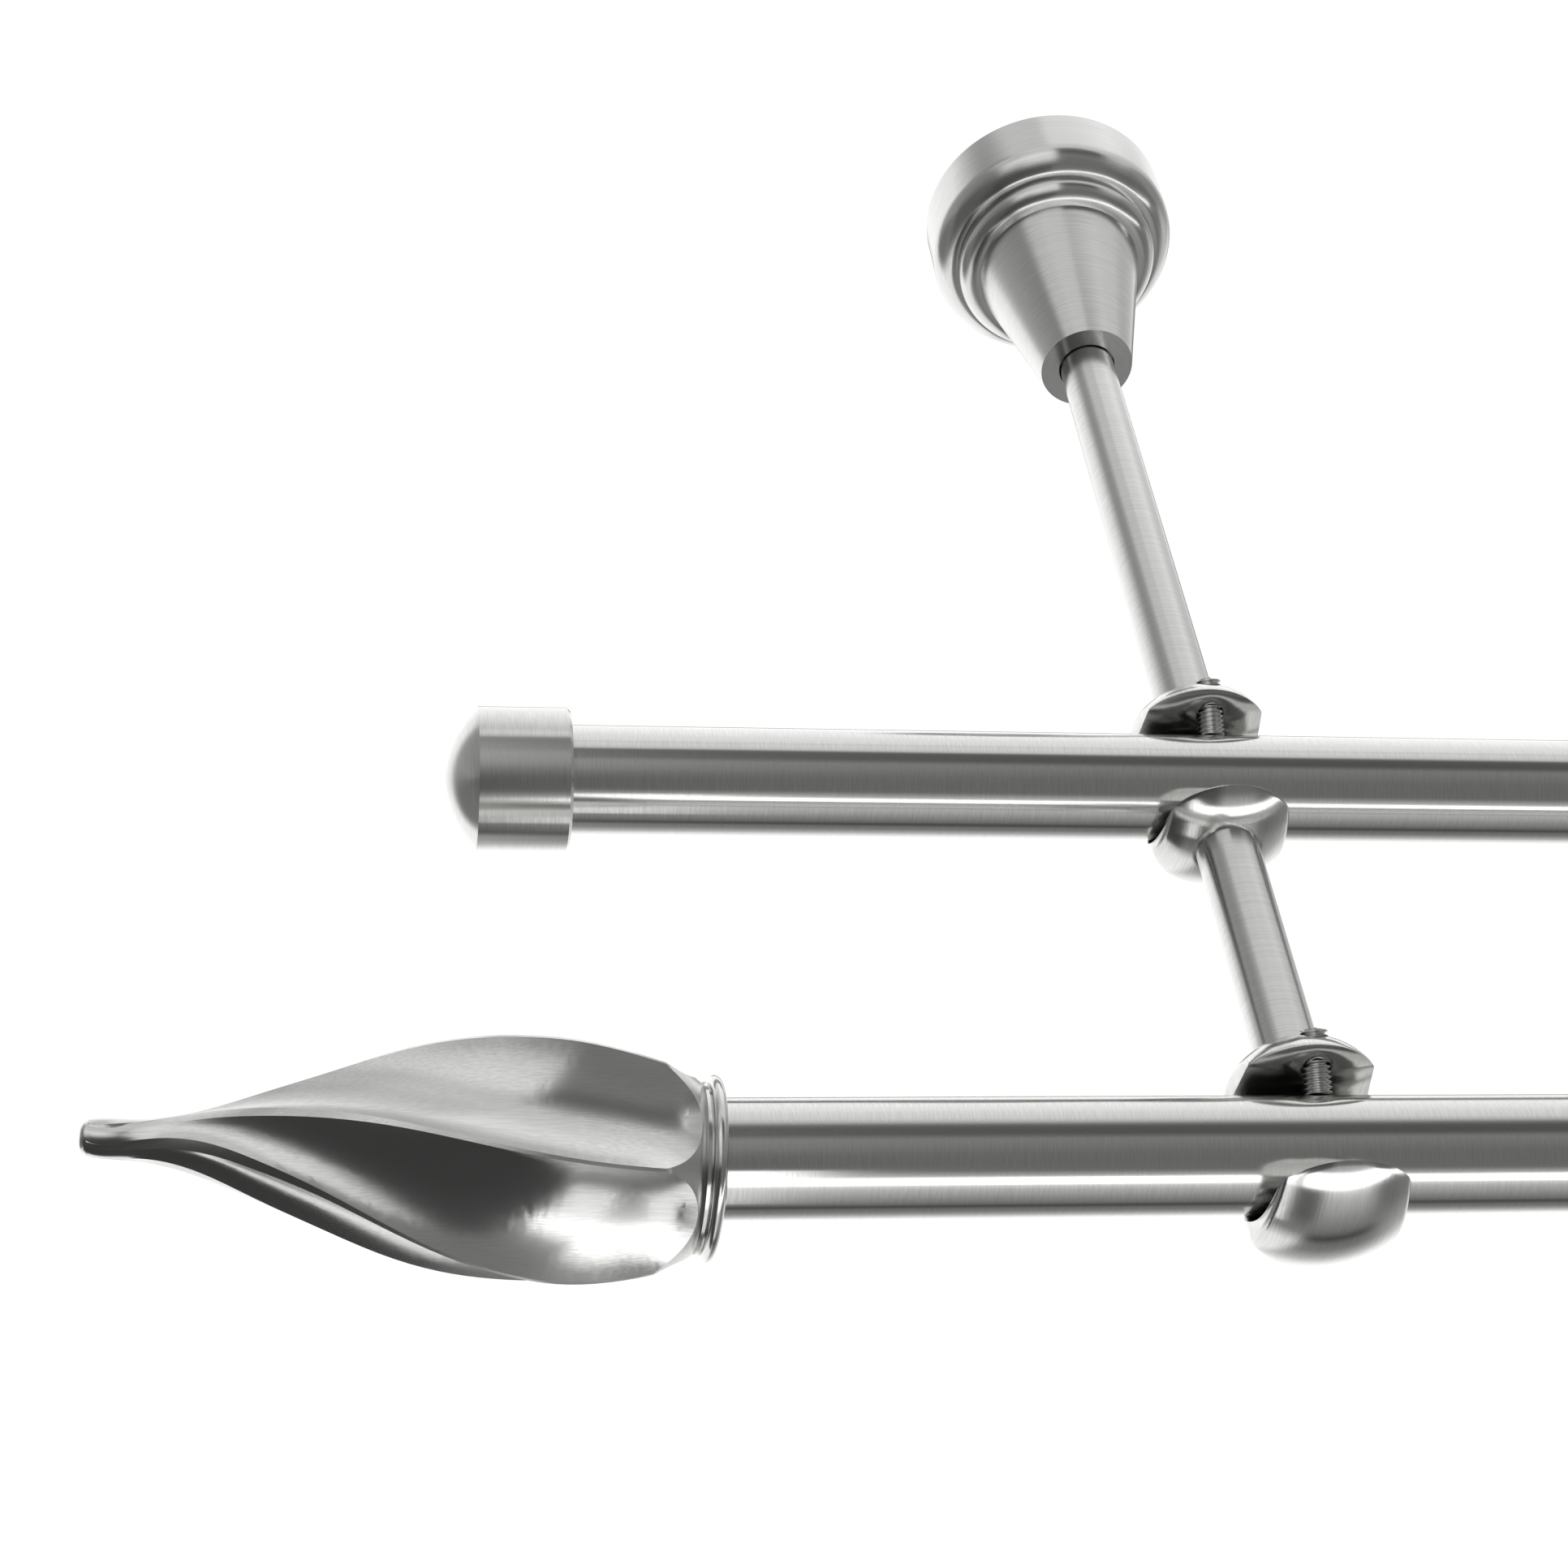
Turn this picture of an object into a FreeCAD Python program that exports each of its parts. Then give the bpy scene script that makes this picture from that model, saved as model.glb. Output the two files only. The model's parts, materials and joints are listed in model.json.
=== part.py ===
import FreeCAD, Part
import math
import os
from FreeCAD import Placement, Rotation, Vector

# Double curtain pole in brushed steel. Two brackets stand on a wall and carry a rear and a front pole.
# The wall is the plane y = 0, the arms point to -Y, the poles lie along X and +Z is up.
# The origin is the centre of the left wall plate, on the wall. All sizes are in millimetres.

# Poles and their places
pole_diameter = 16.0
pole_wall = 1.0
bracket_spacing = 790.0
rear_pole_distance = 153.0
pole_gap = 70.3
front_pole_overhang = 80.7
rear_pole_overhang = 108.0

# Round bars of the bracket
arm_diameter = 9.4
spigot_diameter = 6.0
stud_diameter = 6.0
stud_depth = 9.0

# Wall plate with its boss
plate_thickness = 5.0
boss_diameter = 14.0
boss_length = 11.0
wall_screw_hole = 4.5
wall_screw_head = 8.6
wall_screw_spacing = 27.0

# Rose: drum with a round front, a stepped ring and a cone, turned hollow
drum_diameter = 44.2
drum_side_depth = 9.2
drum_depth = 14.0
drum_front_fall = 3.1
ring_step = 4.0
ring_depth = 18.0
ring_edge_radius = 3.0
cone_step = 7.5
cone_end_diameter = 16.2
cone_depth = 47.0
rose_wall = 1.5

# Cradle: a cast ball about the arm's line with drafted sides, cut open at the top for poles up to its opening
cradle_opening = 19.9
ball_lip_radius = 11.4
pierced_lip_radius = 10.6
ball_front_distance = 13.8
ball_waist_radius = 11.7
ball_rim_radius = 11.0
ball_rim_width = 0.4
ball_back_distance = 16.0
ball_back_bulge = 1.5
ball_half_width = 9.6
ball_side_draft = 6.0
ball_side_round = 1.2
arm_seat_distance = 12.9
arm_spigot_length = 3.0

# Screws
set_screw_diameter = 4.0
set_screw_length = 9.0
set_screw_rise = 30.0
set_screw_offset = 0.9
set_screw_key = 2.0
small_screw_diameter = 3.0
small_screw_key = 1.5
rose_screw_length = 3.0
cap_screw_length = 2.5
screw_point = 0.6

# Domed cap of the rear pole
cap_diameter = 21.0
cap_sleeve_length = 13.4
cap_dome_height = 4.5
cap_grip = 11.1
cap_edge = 0.4

# Collar ring between the front pole and the finial
collar_diameter = 24.3
collar_rim = 1.8
collar_flange_diameter = 22.4
collar_flange = 0.4
collar_groove_diameter = 21.0
collar_groove = 0.3

# Twisted finial: six ridges with hollow faces between them, turned down to a cone at the neck
ridge_count = 6
finial_stud_diameter = 8.0
finial_stud_length = 14.0
plug_length = 16.0
finial_outline = [
    (0.0, 13.4),
    (4.0, 14.8),
    (8.0, 16.0),
    (12.0, 16.9),
    (18.0, 17.6),
    (24.0, 17.3),
    (32.0, 15.8),
    (40.0, 13.1),
    (48.0, 9.8),
    (56.0, 6.8),
    (64.0, 4.1),
    (72.0, 2.6),
    (78.2, 2.1),
]
tip_round = 0.9
ridge_start_angle = 49.5
finial_twist = 92.0
twist_growth = 2.4
neck_radius = 11.0
neck_length = 11.0
hollow_fade = 9.0
mid_ridge_angle = 0.8
tip_ridge_angle = 26.0
face_hollow = 0.16
tip_face_hollow = 0.02
tip_softening = 5.0

# The left finial sits a little out of line in its tube: it leans up and back, and its foot lies low
finial_lean = 3.3
lean_heading = 47.0
finial_drop = 1.3

# Clearances
slide_clearance = 0.3
thread_clearance = 0.05
seat_clearance = 0.1
rose_bore_clearance = 0.25

pole_radius = pole_diameter / 2
arm_radius = arm_diameter / 2
front_pole_distance = rear_pole_distance + pole_gap
axis_x = Vector(1, 0, 0)
axis_y = Vector(0, 1, 0)
axis_z = Vector(0, 0, 1)


def rod(radius, start, direction, length):
    return Part.makeCylinder(radius, length, start, direction)


def turned(points, start, direction, side):
    """A solid of revolution. Each point is (along, radius), or a pair of them for an arc's middle and end."""
    def place(point):
        return start + direction * point[0] + side * point[1]

    edges = []
    last = place(points[0])
    for item in points[1:]:
        if isinstance(item[0], tuple):
            middle, end = place(item[0]), place(item[1])
            edges.append(Part.Arc(last, middle, end).toShape())
        else:
            end = place(item)
            edges.append(Part.makeLine(last, end))
        last = end
    edges.append(Part.makeLine(last, place(points[0])))
    return Part.Face(Part.Wire(edges)).revolve(start, direction, 360)


def grub_screw(diameter, length, key, start, direction):
    """A headless screw that starts with a coned point and ends with a hexagon socket."""
    side = direction.cross(axis_x)
    side.normalize()
    body = turned(
        [(0, 0), (0, diameter / 2 - screw_point), (screw_point, diameter / 2),
         (length - screw_point / 2, diameter / 2), (length, diameter / 2 - screw_point / 2), (length, 0)],
        start, direction, side)
    flat_radius = key / 2 / math.cos(math.radians(30))
    corners = []
    other = direction.cross(side)
    socket_floor = start + direction * (length - key)
    for step in range(7):
        turn = math.radians(60 * step)
        spoke = side * math.cos(turn) + other * math.sin(turn)
        corners.append(socket_floor + spoke * flat_radius)
    socket = Part.Face(Part.makePolygon(corners)).extrude(direction * key * 2)
    return body.cut(socket)


def wall_plate():
    outer = drum_diameter / 2 - rose_wall - slide_clearance
    plate = rod(outer, Vector(0, 0, 0), -axis_y, plate_thickness)
    plate = plate.fuse(rod(boss_diameter / 2, Vector(0, 0, 0), -axis_y, plate_thickness + boss_length))
    stud_hole = rod(stud_diameter / 2 + thread_clearance, Vector(0, -plate_thickness - boss_length, 0),
                    axis_y, stud_depth)
    plate = plate.cut(stud_hole)
    sink_depth = (wall_screw_head - wall_screw_hole) / 2
    for side in (-1, 1):
        centre = Vector(0, 0, side * wall_screw_spacing / 2)
        plate = plate.cut(rod(wall_screw_hole / 2, centre, -axis_y, plate_thickness))
        sink_start = centre - axis_y * (plate_thickness - sink_depth)
        sink = Part.makeCone(wall_screw_hole / 2, wall_screw_head / 2, sink_depth, sink_start, -axis_y)
        plate = plate.cut(sink)
    dimple_top = outer - (rose_screw_length - rose_wall - slide_clearance)
    dimple = rod(small_screw_diameter / 2 + thread_clearance, Vector(0, -plate_thickness / 2, -dimple_top),
                 -axis_z, rose_screw_length)
    return plate.cut(dimple)


def arm_stud():
    start = Vector(0, -plate_thickness - boss_length + stud_depth, 0)
    return rod(stud_diameter / 2, start, -axis_y, 2 * stud_depth)


def tangent_arc(start, end):
    """Middle point of the arc that leaves the first point along the axis and reaches the second."""
    run = end[0] - start[0]
    fall = start[1] - end[1]
    radius = (run * run + fall * fall) / (2 * fall)
    turn = math.asin(run / radius) if fall <= radius else math.pi - math.asin(run / radius)
    return (start[0] + radius * math.sin(turn / 2), start[1] - radius + radius * math.cos(turn / 2))


def rose_outline(inset):
    drum = drum_diameter / 2 - inset
    drum_start = (drum_side_depth, drum)
    drum_end = (drum_depth - inset, drum - drum_front_fall)
    ring = drum - ring_step
    ring_start = (ring_depth - ring_edge_radius, ring)
    ring_end = (ring_depth - inset, ring - ring_edge_radius + inset)
    return [(0, 0), (0, drum), drum_start, (tangent_arc(drum_start, drum_end), drum_end),
            (drum_depth - inset, ring), ring_start, (tangent_arc(ring_start, ring_end), ring_end),
            (ring_depth - inset, drum - cone_step),
            (cone_depth - inset, cone_end_diameter / 2 - inset), (cone_depth - inset, 0)]


def rose():
    wall = turned(rose_outline(0), Vector(0, 0, 0), -axis_y, axis_z)
    hollow = turned(rose_outline(rose_wall), Vector(0, 0, 0), -axis_y, axis_z)
    shell = wall.cut(hollow)
    shell = shell.cut(rod(arm_radius + rose_bore_clearance, Vector(0, 0, 0), -axis_y, cone_depth + rose_wall))
    screw_hole = rod(small_screw_diameter / 2 + thread_clearance, Vector(0, -plate_thickness / 2, 0),
                     -axis_z, drum_diameter)
    return shell.cut(screw_hole)


def rose_screw():
    outer = drum_diameter / 2 - rose_wall - slide_clearance
    tip = outer - (rose_screw_length - rose_wall - slide_clearance)
    start = Vector(0, -plate_thickness / 2, -tip)
    return grub_screw(small_screw_diameter, rose_screw_length, small_screw_key, start, -axis_z)


def rear_arm():
    start = -plate_thickness - boss_length
    end = -rear_pole_distance + ball_back_distance
    bar = rod(arm_radius, Vector(0, start, 0), -axis_y, start - end)
    bar = bar.fuse(rod(spigot_diameter / 2, Vector(0, end, 0), -axis_y, arm_spigot_length))
    stud_hole = rod(stud_diameter / 2 + thread_clearance, Vector(0, start, 0), -axis_y, stud_depth)
    return bar.cut(stud_hole)


def front_arm():
    start = -rear_pole_distance - arm_seat_distance
    end = -front_pole_distance + ball_back_distance
    bar = rod(arm_radius, Vector(0, start, 0), -axis_y, start - end)
    bar = bar.fuse(rod(spigot_diameter / 2, Vector(0, end, 0), -axis_y, arm_spigot_length))
    rear_spigot_length = arm_seat_distance - cradle_opening / 2
    return bar.fuse(rod(spigot_diameter / 2, Vector(0, start, 0), axis_y, rear_spigot_length))


def ball_outline(lip_radius):
    slot = cradle_opening / 2
    front = -ball_front_distance
    lip = (-slot, lip_radius)
    rim = (slot + ball_rim_width, ball_rim_radius)
    back = (ball_back_distance, arm_radius)
    sagitta = lip[0] - front
    sphere = (lip[1] ** 2 + sagitta ** 2) / (2 * sagitta)
    dome_middle = (front + sphere - math.sqrt(sphere ** 2 - (lip[1] / 2) ** 2), lip[1] / 2)
    back_middle = ((rim[0] + back[0] + ball_back_bulge) / 2, (rim[1] + back[1] + ball_back_bulge) / 2)
    return [(front, 0), (dome_middle, lip), ((0, ball_waist_radius), rim), (back_middle, back), (back[0], 0)]


def set_screw_line():
    rise = math.radians(set_screw_rise)
    return Vector(0, math.cos(rise), math.sin(rise))


def cradle(distance, pierced):
    """The ball rests the pole in a round-bottomed slot. The front arm stands on the dome of a pierced one."""
    centre = Vector(0, -distance, 0)
    span = 2 * ball_back_distance
    ball = turned(ball_outline(pierced_lip_radius if pierced else ball_lip_radius), centre, axis_y, axis_z)
    draft = span * math.tan(math.radians(ball_side_draft))
    corners = []
    for across, up in ((-1, -1), (1, -1), (1, 1), (-1, 1), (-1, -1)):
        corners.append(centre + Vector(across * (ball_half_width - up * draft), -span, up * span))
    ball = ball.common(Part.Face(Part.makePolygon(corners)).extrude(axis_y * 2 * span)).Solids[0]
    # The long edges where the drafted sides meet the ball are rounded before the slot opens them
    side_edges = [edge for edge in ball.Edges if abs(edge.CenterOfMass.x) > ball_half_width / 2]
    ball = ball.makeFillet(ball_side_round, side_edges)
    slot = cradle_opening / 2
    slot_centre = centre + axis_z * (slot - pole_radius)
    ball = ball.cut(Part.makeBox(2 * span, 2 * slot, span, slot_centre - axis_y * slot - axis_x * span))
    ball = ball.cut(rod(slot, slot_centre - axis_x * span, axis_x, 2 * span))
    spigot_floor = centre + axis_y * (ball_back_distance - arm_spigot_length)
    ball = ball.cut(rod(spigot_diameter / 2, spigot_floor, axis_y, span))
    screw_centre = centre + axis_x * set_screw_offset
    ball = ball.cut(rod(set_screw_diameter / 2 + thread_clearance, screw_centre, set_screw_line(), span))
    if pierced:
        ball = ball.cut(rod(spigot_diameter / 2, centre, -axis_y, span))
        ball = ball.cut(rod(arm_radius, centre - axis_y * arm_seat_distance, -axis_y, span))
    return ball


def set_screw(distance):
    start = Vector(set_screw_offset, -distance, 0) + set_screw_line() * pole_radius
    return grub_screw(set_screw_diameter, set_screw_length, set_screw_key, start, set_screw_line())


def pole(distance, overhang):
    start = Vector(-overhang, -distance, 0)
    length = bracket_spacing + 2 * overhang
    return rod(pole_radius, start, axis_x, length).cut(rod(pole_radius - pole_wall, start, axis_x, length))


def end_cap():
    """A sleeve with a dome, along +X, with its open end at the origin."""
    radius = cap_diameter / 2
    dome_end = cap_sleeve_length + cap_dome_height
    sphere = (radius * radius + cap_dome_height * cap_dome_height) / (2 * cap_dome_height)
    half = radius / 2
    dome_middle = (dome_end - sphere + math.sqrt(sphere * sphere - half * half), half)
    body = turned([(0, 0), (0, radius - cap_edge), (cap_edge, radius), (cap_sleeve_length, radius),
                   (dome_middle, (dome_end, 0))], Vector(0, 0, 0), axis_x, axis_z)
    body = body.cut(rod(pole_radius + seat_clearance, Vector(0, 0, 0), axis_x, cap_grip))
    hole = rod(small_screw_diameter / 2 + thread_clearance, Vector(cap_grip / 2, 0, 0), -axis_z, cap_diameter)
    return body.cut(hole)


def cap_screw():
    start = Vector(cap_grip / 2, 0, -pole_radius)
    return grub_screw(small_screw_diameter, cap_screw_length, small_screw_key, start, -axis_z)


def collar():
    """The ring between pole and finial, along +X, with its pole side at the origin."""
    rim = collar_diameter / 2
    flange = collar_flange_diameter / 2
    groove = collar_groove_diameter / 2
    groove_end = collar_rim + collar_groove
    bore = finial_stud_diameter / 2 + seat_clearance
    fall = collar_rim / 2
    return turned([(0, bore), (0, rim - fall), ((fall, rim), (collar_rim, rim - fall)),
                   (collar_rim, groove), (groove_end, groove), (groove_end, flange),
                   (collar_depth(), flange), (collar_depth(), bore)],
                  Vector(0, 0, 0), axis_x, axis_z)


def collar_depth():
    return collar_rim + collar_groove + collar_flange


def finial_section(distance, radius):
    """One closed outline across the finial: short round ridges and hollow faces between them."""
    length = finial_outline[-1][0]
    share = distance / length
    turn = ridge_start_angle + finial_twist * share ** twist_growth
    fade = max(0.0, 1 - distance / hollow_fade) ** 2
    ridge = mid_ridge_angle + (tip_ridge_angle - mid_ridge_angle) * share ** tip_softening
    hollow = (face_hollow + (tip_face_hollow - face_hollow) * share ** tip_softening) * (1 - fade)
    half_pitch = 180.0 / ridge_count
    half_face = math.radians(half_pitch - ridge)
    floor = radius * math.cos(half_face) - hollow * 2 * radius * math.sin(half_face)

    def at(angle, r):
        a = math.radians(angle)
        return Vector(distance, r * math.cos(a), r * math.sin(a))

    def bow(first, middle, last):
        curve = Part.BezierCurve()
        curve.setPoles([first, middle * 2 - (first + last) * 0.5, last])
        return curve.toShape()

    edges = []
    for index in range(ridge_count):
        peak = turn + 2 * half_pitch * index
        face = peak + half_pitch
        edges.append(bow(at(peak - ridge, radius), at(peak, radius), at(peak + ridge, radius)))
        next_edge = peak + 2 * half_pitch - ridge
        edges.append(bow(at(peak + ridge, radius), at(face, floor), at(next_edge, radius)))
    return Part.Wire(edges)


def finial():
    """The casting along +X, with its stud in the pole. The origin is where pole and collar meet."""
    sections = [finial_section(distance, radius) for distance, radius in finial_outline]
    body = Part.makeLoft(sections, True, False)
    length, tip = finial_outline[-1]
    clear_radius = 1.1 * max(radius for distance, radius in finial_outline)
    slant = tip_round * (1 - math.sqrt(0.5))
    trim = turned([(0, 0), (0, neck_radius), (neck_length, clear_radius), (length - tip_round, clear_radius),
                   (length - tip_round, tip), ((length - slant, tip - slant), (length, tip - tip_round)),
                   (length, 0)], Vector(0, 0, 0), axis_x, axis_z)
    body = body.common(trim)
    body.translate(axis_x * collar_depth())
    return body.fuse(rod(finial_stud_diameter / 2, axis_x * -finial_stud_length, axis_x,
                         finial_stud_length + collar_depth()))


def finial_plug(mouth, inward, place):
    """A plug pressed into the end of the front pole. Its threaded hole follows the finial's stud."""
    plug = rod(pole_radius - pole_wall, mouth, inward, plug_length)
    hole = rod(finial_stud_diameter / 2 + thread_clearance, axis_x * -finial_stud_length, axis_x,
               finial_stud_length + collar_depth())
    return plug.cut(placed(hole, place))


def left_end_place():
    lean = math.radians(finial_lean)
    heading = Vector(0, math.cos(math.radians(lean_heading)), math.sin(math.radians(lean_heading)))
    along = -axis_x * math.cos(lean) + heading * math.sin(lean)
    step_off = (pole_radius + finial_drop) * math.tan(lean)
    foot = Vector(-front_pole_overhang - step_off, -front_pole_distance, 0) - heading * finial_drop
    turn = Rotation(axis_z, 180)
    tilt = Rotation(-axis_x, along)
    return Placement(foot, tilt.multiply(turn))


def right_end_place():
    return Placement(Vector(bracket_spacing + front_pole_overhang, -front_pole_distance, 0), Rotation())


def cap_place(side):
    reach = rear_pole_overhang - cap_grip
    if side == "left":
        return Placement(Vector(-reach, -rear_pole_distance, 0), Rotation(axis_z, 180))
    return Placement(Vector(bracket_spacing + reach, -rear_pole_distance, 0), Rotation())


def placed(shape, place):
    copy = shape.copy()
    copy.Placement = place.multiply(copy.Placement)
    return copy


def save(name, shape):
    shape = shape.removeSplitter()
    print(name, shape.ShapeType, len(shape.Solids), shape.isValid(), round(shape.Volume, 1))
    shape.exportStep("parts/" + name + ".step")


def main():
    os.makedirs("parts", exist_ok=True)
    bracket = {
        "wall_plate": wall_plate(),
        "arm_stud": arm_stud(),
        "rose": rose(),
        "rose_screw": rose_screw(),
        "rear_arm": rear_arm(),
        "rear_cradle": cradle(rear_pole_distance, True),
        "rear_set_screw": set_screw(rear_pole_distance),
        "front_arm": front_arm(),
        "front_cradle": cradle(front_pole_distance, False),
        "front_set_screw": set_screw(front_pole_distance),
    }
    for side, shift in (("left", 0), ("right", bracket_spacing)):
        for name, shape in bracket.items():
            save(side + "_" + name, placed(shape, Placement(Vector(shift, 0, 0), Rotation())))
        save(side + "_end_cap", placed(end_cap(), cap_place(side)))
        save(side + "_cap_screw", placed(cap_screw(), cap_place(side)))
    for side, place in (("left", left_end_place()), ("right", right_end_place())):
        save(side + "_finial_collar", placed(collar(), place))
        save(side + "_finial", placed(finial(), place))
    left_mouth = Vector(-front_pole_overhang, -front_pole_distance, 0)
    right_mouth = Vector(bracket_spacing + front_pole_overhang, -front_pole_distance, 0)
    save("left_finial_plug", finial_plug(left_mouth, axis_x, left_end_place()))
    save("right_finial_plug", finial_plug(right_mouth, -axis_x, right_end_place()))
    save("rear_pole", pole(rear_pole_distance, rear_pole_overhang))
    save("front_pole", pole(front_pole_distance, front_pole_overhang))


main()
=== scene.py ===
import json
import math

import bpy
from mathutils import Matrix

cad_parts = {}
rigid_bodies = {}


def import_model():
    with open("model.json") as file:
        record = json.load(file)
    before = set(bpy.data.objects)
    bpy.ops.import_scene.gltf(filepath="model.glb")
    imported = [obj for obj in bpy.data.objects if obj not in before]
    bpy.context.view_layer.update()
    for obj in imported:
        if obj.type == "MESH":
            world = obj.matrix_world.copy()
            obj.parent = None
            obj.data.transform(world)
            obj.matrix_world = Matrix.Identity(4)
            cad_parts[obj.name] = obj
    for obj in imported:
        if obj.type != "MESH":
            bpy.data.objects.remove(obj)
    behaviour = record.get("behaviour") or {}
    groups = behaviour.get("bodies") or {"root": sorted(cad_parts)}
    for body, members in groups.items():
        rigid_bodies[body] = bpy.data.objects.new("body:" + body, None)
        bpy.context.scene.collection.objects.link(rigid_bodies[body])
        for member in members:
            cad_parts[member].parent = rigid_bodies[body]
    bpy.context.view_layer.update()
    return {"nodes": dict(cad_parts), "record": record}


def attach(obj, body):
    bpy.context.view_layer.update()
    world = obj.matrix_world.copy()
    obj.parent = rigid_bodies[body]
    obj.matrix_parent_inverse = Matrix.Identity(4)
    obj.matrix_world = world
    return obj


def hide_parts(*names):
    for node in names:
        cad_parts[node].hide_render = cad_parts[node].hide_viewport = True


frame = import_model()
mm = 0.001


# Colours are sRGB hex, as they look on screen; the nodes want them linear
def linearColour(hexCode):
    parts = [int(hexCode[i:i + 2], 16) / 255 for i in (1, 3, 5)]
    return [p / 12.92 if p <= 0.04045 else ((p + 0.055) / 1.055) ** 2.4 for p in parts] + [1.0]


# Adds one node; settings go on the node, inputs are values or sockets to link
def addNode(tree, kind, settings=None, inputs=None):
    node = tree.nodes.new(kind)
    for key, value in (settings or {}).items():
        setattr(node, key, value)
    for key, value in (inputs or {}).items():
        if isinstance(value, bpy.types.NodeSocket):
            tree.links.new(value, node.inputs[key])
        else:
            node.inputs[key].default_value = value
    return node


def newMaterial(name):
    material = bpy.data.materials.new(name)
    material.use_nodes = True
    tree = material.node_tree
    tree.nodes.clear()
    return material, tree


# Stainless steel with fine marks: reflections stay sharp along the marks and smear across them
steel = {
    "light": "#dcdcda",
    "dark": "#cfcfcd",
    "darkRoughness": 1.12,
    "lightRoughness": 0.9,
    "anisotropy": 0.7,
    "markDepth": 0.004,
    "noiseDetail": 3.0,
    "noiseRoughness": 0.6,
    "noiseFrom": 0.3,
    "noiseTo": 0.7,
    "ringDrift": 0.05,
}


def steelShader(tree, streak, axis, roughness, bump, turn):
    tone = addNode(tree, "ShaderNodeMix", {"data_type": "RGBA"}, {
        0: streak, 6: linearColour(steel["dark"]), 7: linearColour(steel["light"])})
    rough = addNode(tree, "ShaderNodeMapRange", None, {
        0: streak, 3: roughness * steel["darkRoughness"], 4: roughness * steel["lightRoughness"]})
    height = addNode(tree, "ShaderNodeBump", None, {
        "Strength": bump, "Distance": steel["markDepth"] * mm, "Height": streak})
    tangent = addNode(tree, "ShaderNodeTangent", {"direction_type": "RADIAL", "axis": axis})
    shader = addNode(tree, "ShaderNodeBsdfPrincipled", None, {
        "Base Color": tone.outputs[2], "Metallic": 1.0, "Roughness": rough.outputs[0],
        "Anisotropic": steel["anisotropy"], "Anisotropic Rotation": turn,
        "Normal": height.outputs[0], "Tangent": tangent.outputs[0]})
    addNode(tree, "ShaderNodeOutputMaterial", None, {0: shader.outputs[0]})


def marks(tree, vector, markSize):
    noise = addNode(tree, "ShaderNodeTexNoise", None, {
        "Vector": vector, "Scale": 1 / (markSize * mm), "Detail": steel["noiseDetail"],
        "Roughness": steel["noiseRoughness"]})
    return addNode(tree, "ShaderNodeMapRange", None, {
        0: noise.outputs[0], 1: steel["noiseFrom"], 2: steel["noiseTo"]}).outputs[0]


# Marks that run straight: the scale is small along them
def grain(tree, scale, markSize):
    place = addNode(tree, "ShaderNodeTexCoord")
    stretched = addNode(tree, "ShaderNodeMapping", None, {"Vector": place.outputs["Object"], "Scale": scale})
    return marks(tree, stretched.outputs[0], markSize)


# Marks that run round an axis, on its cylinders and on its faces: they change with length and with radius
def rings(tree, axis, centre, markSize):
    place = addNode(tree, "ShaderNodeTexCoord")
    moved = addNode(tree, "ShaderNodeVectorMath", {"operation": "SUBTRACT"}, {
        0: place.outputs["Object"], 1: centre})
    across = (0, 1, 1) if axis == "X" else (1, 0, 1)
    flat = addNode(tree, "ShaderNodeVectorMath", {"operation": "MULTIPLY"}, {0: moved.outputs[0], 1: across})
    radius = addNode(tree, "ShaderNodeVectorMath", {"operation": "LENGTH"}, {0: flat.outputs[0]})
    parts = addNode(tree, "ShaderNodeSeparateXYZ", None, {0: moved.outputs[0]})
    slow = addNode(tree, "ShaderNodeVectorMath", {"operation": "SCALE"}, {
        0: flat.outputs[0], "Scale": steel["ringDrift"]})
    fast = addNode(tree, "ShaderNodeCombineXYZ", None, {
        0: parts.outputs[0 if axis == "X" else 1], 1: radius.outputs["Value"]})
    both = addNode(tree, "ShaderNodeVectorMath", {"operation": "ADD"}, {
        0: fast.outputs[0], 1: slow.outputs[0]})
    return marks(tree, both.outputs[0], markSize)


# Marks along the axis need no turn of the gloss, marks round it a quarter turn. Scale is small along
# the marks; mark sizes are in millimetres and a little coarser than real ones, so that they show
straightFinishes = {
    # Ground on a belt: fine hairs run round the tube, and the studio lies on it in long bands
    "pole_steel": {"name": "belt-ground stainless tube", "scale": (1.0, 0.06, 0.06), "markSize": 0.16,
                   "axis": "X", "roughness": 0.17, "bump": 0.5, "turn": 0.25},
    # Brushed from top to bottom, so its reflexes are wide from side to side
    "cradle": {"name": "brushed steel casting of the cradles", "scale": (1.0, 0.05, 0.05), "markSize": 0.2,
               "axis": "X", "roughness": 0.16, "bump": 0.5, "turn": 0.25},
    # Brushed from collar to tip
    "cast_steel": {"name": "lengthwise brushed steel casting", "scale": (0.05, 1.0, 1.0), "markSize": 0.2,
                   "axis": "X", "roughness": 0.22, "bump": 0.4, "turn": 0.0},
    # Plated, so its marks have no direction
    "screw_steel": {"name": "bright zinc-plated screw steel", "scale": (1.0, 1.0, 1.0), "markSize": 0.3,
                    "axis": "Y", "roughness": 0.24, "bump": 0.3, "turn": 0.0},
    # Hidden, so it is left dull and coarse
    "plate_steel": {"name": "plain turned steel", "scale": (0.1, 1.0, 0.1), "markSize": 0.4,
                    "axis": "Y", "roughness": 0.35, "bump": 0.5, "turn": 0.25},
}

# Turned pieces carry rings about their own axis, which passes through this point in metres
turnedFinishes = {
    "cap": {"name": "turned satin steel of the caps", "axis": "X", "centre": (0, -0.153, 0)},
    "collar": {"name": "turned satin steel of the collars", "axis": "X", "centre": (0, -0.2233, 0)},
    "left": {"name": "turned satin steel of the left bracket", "axis": "Y", "centre": (0, 0, 0)},
    "right": {"name": "turned satin steel of the right bracket", "axis": "Y", "centre": (0.79, 0, 0)},
}
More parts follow.
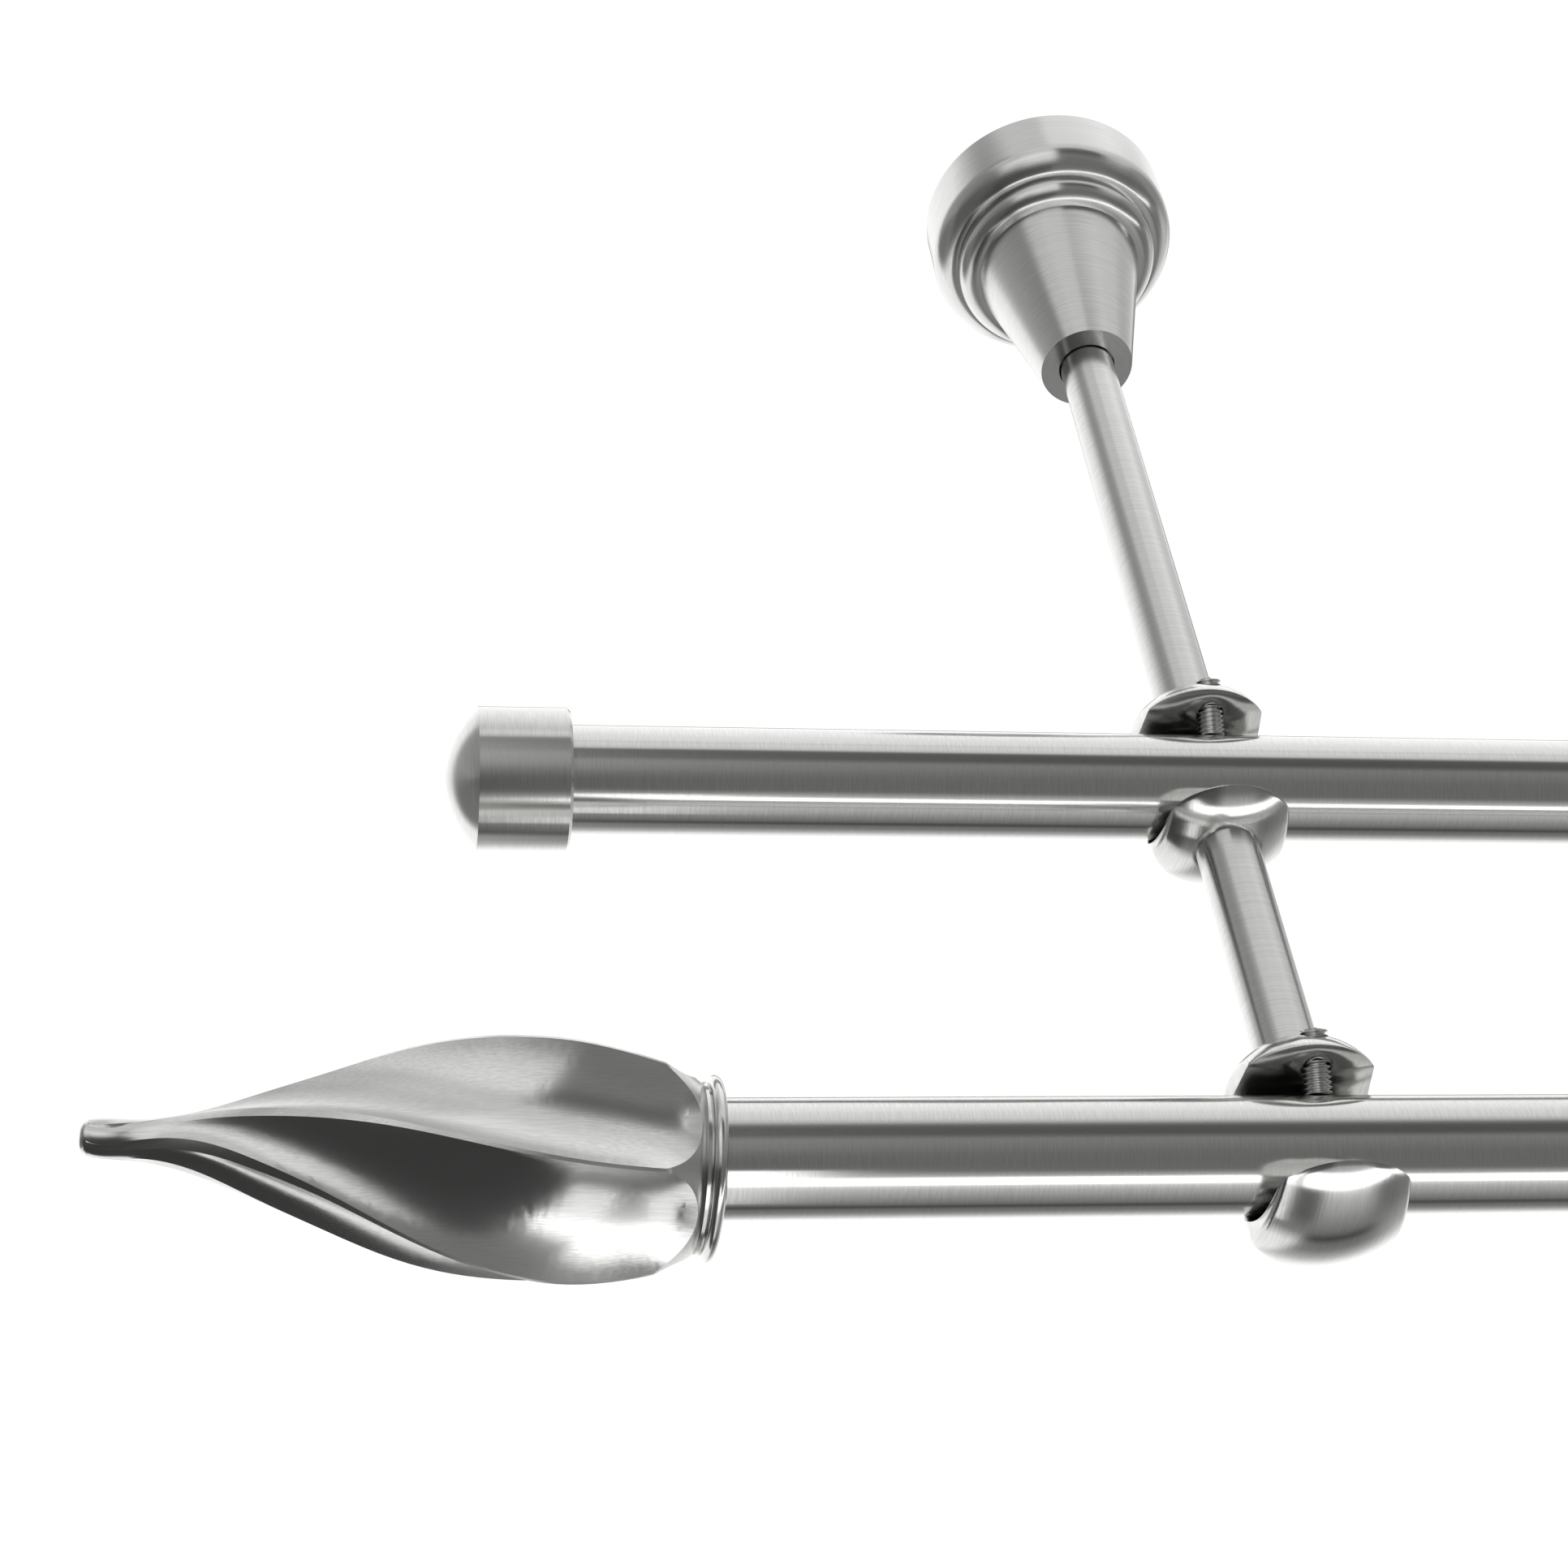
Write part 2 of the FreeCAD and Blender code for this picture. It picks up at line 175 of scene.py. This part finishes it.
# The same fine rings on every turned piece
turned = {"markSize": 0.16, "roughness": 0.2, "bump": 0.25, "turn": 0.25}


def straightSteel(finish):
    material, tree = newMaterial(finish["name"])
    streak = grain(tree, finish["scale"], finish["markSize"])
    steelShader(tree, streak, finish["axis"], finish["roughness"], finish["bump"], finish["turn"])
    return material


def turnedSteel(finish):
    material, tree = newMaterial(finish["name"])
    streak = rings(tree, finish["axis"], finish["centre"], turned["markSize"])
    steelShader(tree, streak, finish["axis"], turned["roughness"], turned["bump"], turned["turn"])
    return material


finishes = {key: straightSteel(finish) for key, finish in straightFinishes.items()}
finishes.update({key: turnedSteel(finish) for key, finish in turnedFinishes.items()})


# Turned pieces take the finish of their own axis
def finishFor(name, slot):
    if slot != "turned_steel":
        return finishes[slot]
    for word in ("cradle", "cap", "collar"):
        if word in name:
            return finishes[word]
    return finishes[name.split("_")[0]]


for part in frame["record"]["subparts"]:
    node = frame["nodes"][part["node"]]
    node.data.materials.clear()
    node.data.materials.append(finishFor(part["node"], part["material_slot"]))
print("steel finishes on", len(frame["nodes"]), "parts")


# Leaves only this piece selected, so that the next operator works on nothing else
def pick(piece):
    bpy.ops.object.select_all(action="DESELECT")
    piece.select_set(True)
    bpy.context.view_layer.objects.active = piece


def applyAll(piece):
    pick(piece)
    for modifier in list(piece.modifiers):
        bpy.ops.object.modifier_apply(modifier=modifier.name)


# Crisp edges: a merged copy of a solid keeps its creases, and the cradles get a fine bevel as well
crisp = {
    "creaseAngle": 28,
    "mergeWithin": 0.001,
    "bevel": 0.12,
    "bevelSegments": 2,
    "pieces": ["rear_cradle", "front_cradle", "rose", "finial", "finial_collar", "end_cap"],
    "bevelled": ["rear_cradle", "front_cradle"],
}


def crispCopy(name, bevelled):
    node = frame["nodes"][name]
    pick(node)
    bpy.ops.object.duplicate()
    copy = bpy.context.object
    copy.name = name + "_crisp"
    bpy.ops.object.parent_clear(type="CLEAR_KEEP_TRANSFORM")
    bpy.ops.object.transform_apply(location=True, rotation=True, scale=True)
    bpy.ops.mesh.customdata_custom_splitnormals_clear()
    bpy.ops.object.mode_set(mode="EDIT")
    bpy.ops.mesh.select_all(action="SELECT")
    bpy.ops.mesh.remove_doubles(threshold=crisp["mergeWithin"] * mm)
    bpy.ops.mesh.normals_make_consistent(inside=False)
    bpy.ops.object.mode_set(mode="OBJECT")
    if bevelled:
        bevel = copy.modifiers.new("fine bevel", "BEVEL")
        bevel.width = crisp["bevel"] * mm
        bevel.segments = crisp["bevelSegments"]
        bevel.limit_method = "ANGLE"
        bevel.angle_limit = math.radians(crisp["creaseAngle"])
        bevel.use_clamp_overlap = True
        applyAll(copy)
    bpy.ops.object.shade_smooth_by_angle(angle=math.radians(crisp["creaseAngle"]))
    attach(copy, "root")
    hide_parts(name)


for side in ("left", "right"):
    for word in crisp["pieces"]:
        crispCopy(side + "_" + word, word in crisp["bevelled"])
print("crisp copies are in place")


# Set screws M4 x 0.7 with a real thread and a socket; each stands on its pole, at the angle of rise
screw = {
    "pitch": 0.7,
    "crestRadius": 1.98,
    "rootRadius": 1.56,
    "crestWidth": 0.1,
    "rootWidth": 0.12,
    "length": 9.0,
    "steps": 28,
    "endTrim": 0.05,
    "seam": 0.005,
    "creaseAngle": 25,
    "socketRadius": 1.15,
    "socketDepth": 2.0,
    "rise": 30,
    "offset": 0.9,
    "poleRadius": 8.0,
    "bracketSpacing": 790.0,
    "polePlaces": {"rear": 153.0, "front": 223.3},
}


# One pitch of the thread's profile, drawn as a line that the screw modifier winds up
def threadLine():
    flank = (screw["pitch"] - screw["crestWidth"] - screw["rootWidth"]) / 2
    moves = [(0, screw["rootWidth"]), (1, flank), (0, screw["crestWidth"]), (-1, flank)]
    rise = screw["crestRadius"] - screw["rootRadius"]
    bpy.ops.object.select_all(action="DESELECT")
    bpy.ops.mesh.primitive_plane_add(size=0.1 * mm, location=(0, 0, 0))
    thread = bpy.context.object
    bpy.ops.object.mode_set(mode="EDIT")
    bpy.ops.mesh.select_all(action="SELECT")
    bpy.ops.mesh.merge(type="CENTER")
    bpy.ops.transform.translate(value=(screw["rootRadius"] * mm, 0, -screw["pitch"] * mm))
    for outward, along in moves:
        bpy.ops.mesh.extrude_region_move(TRANSFORM_OT_translate={
            "value": (outward * rise * mm, 0, along * mm)})
    bpy.ops.object.mode_set(mode="OBJECT")
    return thread


def cutEnd(height, upper):
    bpy.ops.mesh.select_all(action="SELECT")
    bpy.ops.mesh.bisect(plane_co=(0, 0, height), plane_no=(0, 0, 1), use_fill=True,
                        clear_outer=upper, clear_inner=not upper)


def threadedScrew():
    thread = threadLine()
    wind = thread.modifiers.new("thread", "SCREW")
    wind.axis = "Z"
    wind.steps = screw["steps"]
    wind.render_steps = screw["steps"]
    wind.screw_offset = screw["pitch"] * mm
    wind.iterations = math.ceil(screw["length"] / screw["pitch"]) + 2
    applyAll(thread)
    bpy.ops.object.mode_set(mode="EDIT")
    bpy.ops.mesh.select_all(action="SELECT")
    bpy.ops.mesh.remove_doubles(threshold=screw["seam"] * mm)
    cutEnd(screw["endTrim"] * mm, False)
    cutEnd((screw["length"] - screw["endTrim"]) * mm, True)
    bpy.ops.mesh.select_all(action="SELECT")
    bpy.ops.mesh.normals_make_consistent(inside=False)
    bpy.ops.object.mode_set(mode="OBJECT")
    bpy.ops.object.select_all(action="DESELECT")
    bpy.ops.mesh.primitive_cylinder_add(vertices=6, radius=screw["socketRadius"] * mm,
                                        depth=2 * screw["socketDepth"] * mm,
                                        location=(0, 0, screw["length"] * mm))
    socket = bpy.context.object
    cut = thread.modifiers.new("socket", "BOOLEAN")
    cut.object = socket
    cut.operation = "DIFFERENCE"
    cut.solver = "EXACT"
    applyAll(thread)
    pick(socket)
    bpy.ops.object.delete()
    pick(thread)
    bpy.ops.object.shade_smooth_by_angle(angle=math.radians(screw["creaseAngle"]))
    return thread


def placeScrew(thread, side, run):
    pick(thread)
    bpy.ops.object.duplicate()
    piece = bpy.context.object
    piece.name = side + "_" + run + "_threaded_screw"
    rise = math.radians(screw["rise"])
    shift = screw["bracketSpacing"] if side == "right" else 0
    piece.location = ((shift + screw["offset"]) * mm,
                      (screw["poleRadius"] * math.cos(rise) - screw["polePlaces"][run]) * mm,
                      screw["poleRadius"] * math.sin(rise) * mm)
    piece.rotation_euler = (rise - math.pi / 2, 0, 0)
    bpy.ops.object.transform_apply(location=True, rotation=True, scale=True)
    piece.data.materials.clear()
    piece.data.materials.append(finishes["screw_steel"])
    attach(piece, "root")
    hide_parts(side + "_" + run + "_set_screw")


master = threadedScrew()
for side in ("left", "right"):
    for run in ("rear", "front"):
        placeScrew(master, side, run)
pick(master)
bpy.ops.object.delete()
print("set screws are threaded")


# The studio: a pale floor well below, a sky of soft boxes and a few near cards
studio = {
    "floorPlace": (0.3, 0, -0.30),
    "floorSize": 5.0,
    "floorColour": "#f4f4f4",
    "floorWhite": 1.25,
    "shadowShare": 0.25,
}


def buildFloor():
    bpy.ops.object.select_all(action="DESELECT")
    bpy.ops.mesh.primitive_plane_add(size=studio["floorSize"], location=studio["floorPlace"])
    floor = bpy.context.object
    floor.name = "floor"
    material, tree = newMaterial("pale studio floor")
    rays = addNode(tree, "ShaderNodeLightPath")
    matte = addNode(tree, "ShaderNodeBsdfDiffuse", None, {"Color": linearColour(studio["floorColour"])})
    white = addNode(tree, "ShaderNodeEmission", None, {
        "Color": (1, 1, 1, 1), "Strength": studio["floorWhite"]})
    share = addNode(tree, "ShaderNodeMath", {"operation": "MULTIPLY"}, {
        0: rays.outputs["Is Camera Ray"], 1: 1 - studio["shadowShare"]})
    mixed = addNode(tree, "ShaderNodeMixShader", None, {
        0: share.outputs[0], 1: matte.outputs[0], 2: white.outputs[0]})
    addNode(tree, "ShaderNodeOutputMaterial", None, {0: mixed.outputs[0]})
    floor.data.materials.append(material)
    floor.visible_glossy = False


# Each part of the sky starts at a sideways direction and gives its brightness by the angle
# in degrees: 0 is the front horizon, 90 straight up, 180 the wall and -90 the floor
sky = [
    {"from": -1.0, "soft": 0.0, "steps": [
        (-150, 0.4), (-120, 0.2), (-60, 0.25), (-30, 0.13), (50, 0.13), (80, 0.22), (130, 0.3), (170, 0.35)]},
    {"from": -0.7, "soft": 0.08, "steps": [
        (-170, 1.2), (-100, 1.3), (-62, 1.1), (-44, 1.0), (-33, 0.7), (-14, 0.3), (0, 0.1), (50, 0.08),
        (62, 0.3), (80, 0.75), (104, 1.05), (112, 0.5), (118, 0.5), (124, 0.85), (131, 0.65), (139, 0.33),
        (165, 0.35)]},
    {"from": -0.42, "soft": 0.08, "steps": [
        (-170, 1.3), (-100, 1.35), (-62, 1.1), (-48, 0.3), (-30, 0.12), (48, 0.07), (58, 0.35), (72, 0.85),
        (100, 1.05), (118, 0.6), (125, 0.85), (140, 0.65), (165, 0.85)]},
    {"from": 0.0, "soft": 0.05, "steps": [
        (-151, 1.3), (-148, 0.25), (-141, 0.25), (-138, 1.4), (-100, 1.1), (-84, 0.55), (-70, 0.25),
        (-60, 0.2), (-53, 0.05), (-46, 0.2), (-30, 0.36), (-12, 0.6), (-2, 0.9), (18, 0.45), (26, 0.19),
        (60, 0.19), (86, 0.25), (92, 0.16), (96, 0.09), (114, 0.10), (118, 0.75), (124, 0.95), (132, 0.75),
        (150, 1.05), (172, 1.25)]},
    {"from": 0.6, "soft": 0.1, "steps": [
        (-150, 0.6), (-138, 1.1), (-95, 1.0), (-75, 0.5), (-50, 0.3), (-35, 0.2), (-10, 0.15), (50, 0.15),
        (90, 0.4), (120, 0.7), (150, 0.75), (175, 0.7)]},
    {"from": 0.82, "soft": 0.05, "steps": [
        (-150, 0.4), (-95, 0.8), (-50, 0.25), (50, 0.15), (120, 0.35), (175, 0.3)]},
]


# A ramp needs both its ends, so the steps wrap round the back
def skyRamp(tree, turn, steps, brightest):
    node = addNode(tree, "ShaderNodeValToRGB", None, {0: turn})
    ramp = node.color_ramp
    (firstAngle, firstLevel), (lastAngle, lastLevel) = steps[0], steps[-1]
    share = (180 - lastAngle) / (360 - lastAngle + firstAngle)
    edge = lastLevel + (firstLevel - lastLevel) * share
    for stop in (ramp.elements[0], ramp.elements[-1]):
        stop.color = (edge / brightest,) * 3 + (1,)
    for degrees, level in steps:
        ramp.elements.new((degrees + 180) / 360).color = (level / brightest,) * 3 + (1,)
    return node.outputs[0]


def buildSky():
    world = bpy.data.worlds.new("studio")
    bpy.context.scene.world = world
    world.use_nodes = True
    tree = world.node_tree
    tree.nodes.clear()
    place = addNode(tree, "ShaderNodeTexCoord")
    parts = addNode(tree, "ShaderNodeSeparateXYZ", None, {0: place.outputs["Generated"]})
    front = addNode(tree, "ShaderNodeMath", {"operation": "MULTIPLY"}, {0: parts.outputs[1], 1: -1.0})
    angle = addNode(tree, "ShaderNodeMath", {"operation": "ARCTAN2"}, {
        0: parts.outputs[2], 1: front.outputs[0]})
    turn = addNode(tree, "ShaderNodeMapRange", None, {0: angle.outputs[0], 1: -math.pi, 2: math.pi})
    brightest = max(level for section in sky for _, level in section["steps"])
    tone = skyRamp(tree, turn.outputs[0], sky[0]["steps"], brightest)
    for section in sky[1:]:
        ramp = skyRamp(tree, turn.outputs[0], section["steps"], brightest)
        reach = addNode(tree, "ShaderNodeMapRange", {"interpolation_type": "SMOOTHSTEP"}, {
            0: parts.outputs[0], 1: section["from"] - section["soft"], 2: section["from"] + section["soft"]})
        tone = addNode(tree, "ShaderNodeMix", {"data_type": "RGBA"}, {
            0: reach.outputs[0], 6: tone, 7: ramp}).outputs[2]
    boxes = addNode(tree, "ShaderNodeBackground", None, {0: tone, 1: brightest})
    white = addNode(tree, "ShaderNodeBackground", None, {0: (1, 1, 1, 1), 1: 1.0})
    rays = addNode(tree, "ShaderNodeLightPath")
    mixed = addNode(tree, "ShaderNodeMixShader", None, {
        0: rays.outputs["Is Camera Ray"], 1: boxes.outputs[0], 2: white.outputs[0]})
    addNode(tree, "ShaderNodeOutputWorld", None, {0: mixed.outputs[0]})


# Near cards that only the steel mirrors: a long low strip in front, and bright and dark ones by the finial
cards = [
    {"name": "front_strip_card", "width": 1.30, "height": 0.085, "place": (0.545, -0.56, 0.040),
     "level": 2.4},
    {"name": "finial_upper_card", "width": 0.04, "height": 0.052, "place": (-0.0775, -0.36, 0.024),
     "level": 2.0},
    {"name": "finial_lower_card", "width": 0.04, "height": 0.11, "place": (-0.0775, -0.36, -0.057),
     "level": 1.15},
    {"name": "finial_brow_card", "width": 0.024, "height": 0.03, "place": (-0.070, -0.30, 0.030),
     "level": 2.0},
    {"name": "dark_finial_card", "width": 0.185, "height": 0.45, "place": (-0.1975, -0.362, -0.025),
     "level": 0.05},
]


# One-sided: the card glows towards the wall and can't be seen from its other side
def buildCard(card):
    bpy.ops.object.select_all(action="DESELECT")
    bpy.ops.mesh.primitive_plane_add(size=1, location=card["place"],
                                     rotation=(math.radians(-90), 0, 0))
    plane = bpy.context.object
    plane.name = card["name"]
    plane.scale = (card["width"], card["height"], 1)
    bpy.ops.object.transform_apply(location=True, rotation=True, scale=True)
    material, tree = newMaterial(card["name"] + " glow")
    sides = addNode(tree, "ShaderNodeNewGeometry")
    glow = addNode(tree, "ShaderNodeEmission", None, {"Color": (1, 1, 1, 1), "Strength": card["level"]})
    clear = addNode(tree, "ShaderNodeBsdfTransparent")
    mixed = addNode(tree, "ShaderNodeMixShader", None, {
        0: sides.outputs["Backfacing"], 1: glow.outputs[0], 2: clear.outputs[0]})
    addNode(tree, "ShaderNodeOutputMaterial", None, {0: mixed.outputs[0]})
    plane.data.materials.append(material)
    plane.visible_camera = False
    plane.visible_diffuse = False
    plane.visible_shadow = False


for card in cards:
    buildCard(card)
buildFloor()
buildSky()

# Camera, solved from the photo's own perspective
view = {
    "lens": 67.45,
    "sensor": 36.0,
    "place": (-0.1319, -0.4601, 0.2988),
    "turn": (46.042, -6.699, -5.873),
}
bpy.ops.object.camera_add(location=view["place"], rotation=[math.radians(a) for a in view["turn"]])
camera = bpy.context.object
camera.data.lens = view["lens"]
camera.data.sensor_width = view["sensor"]
bpy.context.scene.camera = camera
bpy.context.scene.view_settings.view_transform = "Standard"
print("studio and camera are set")
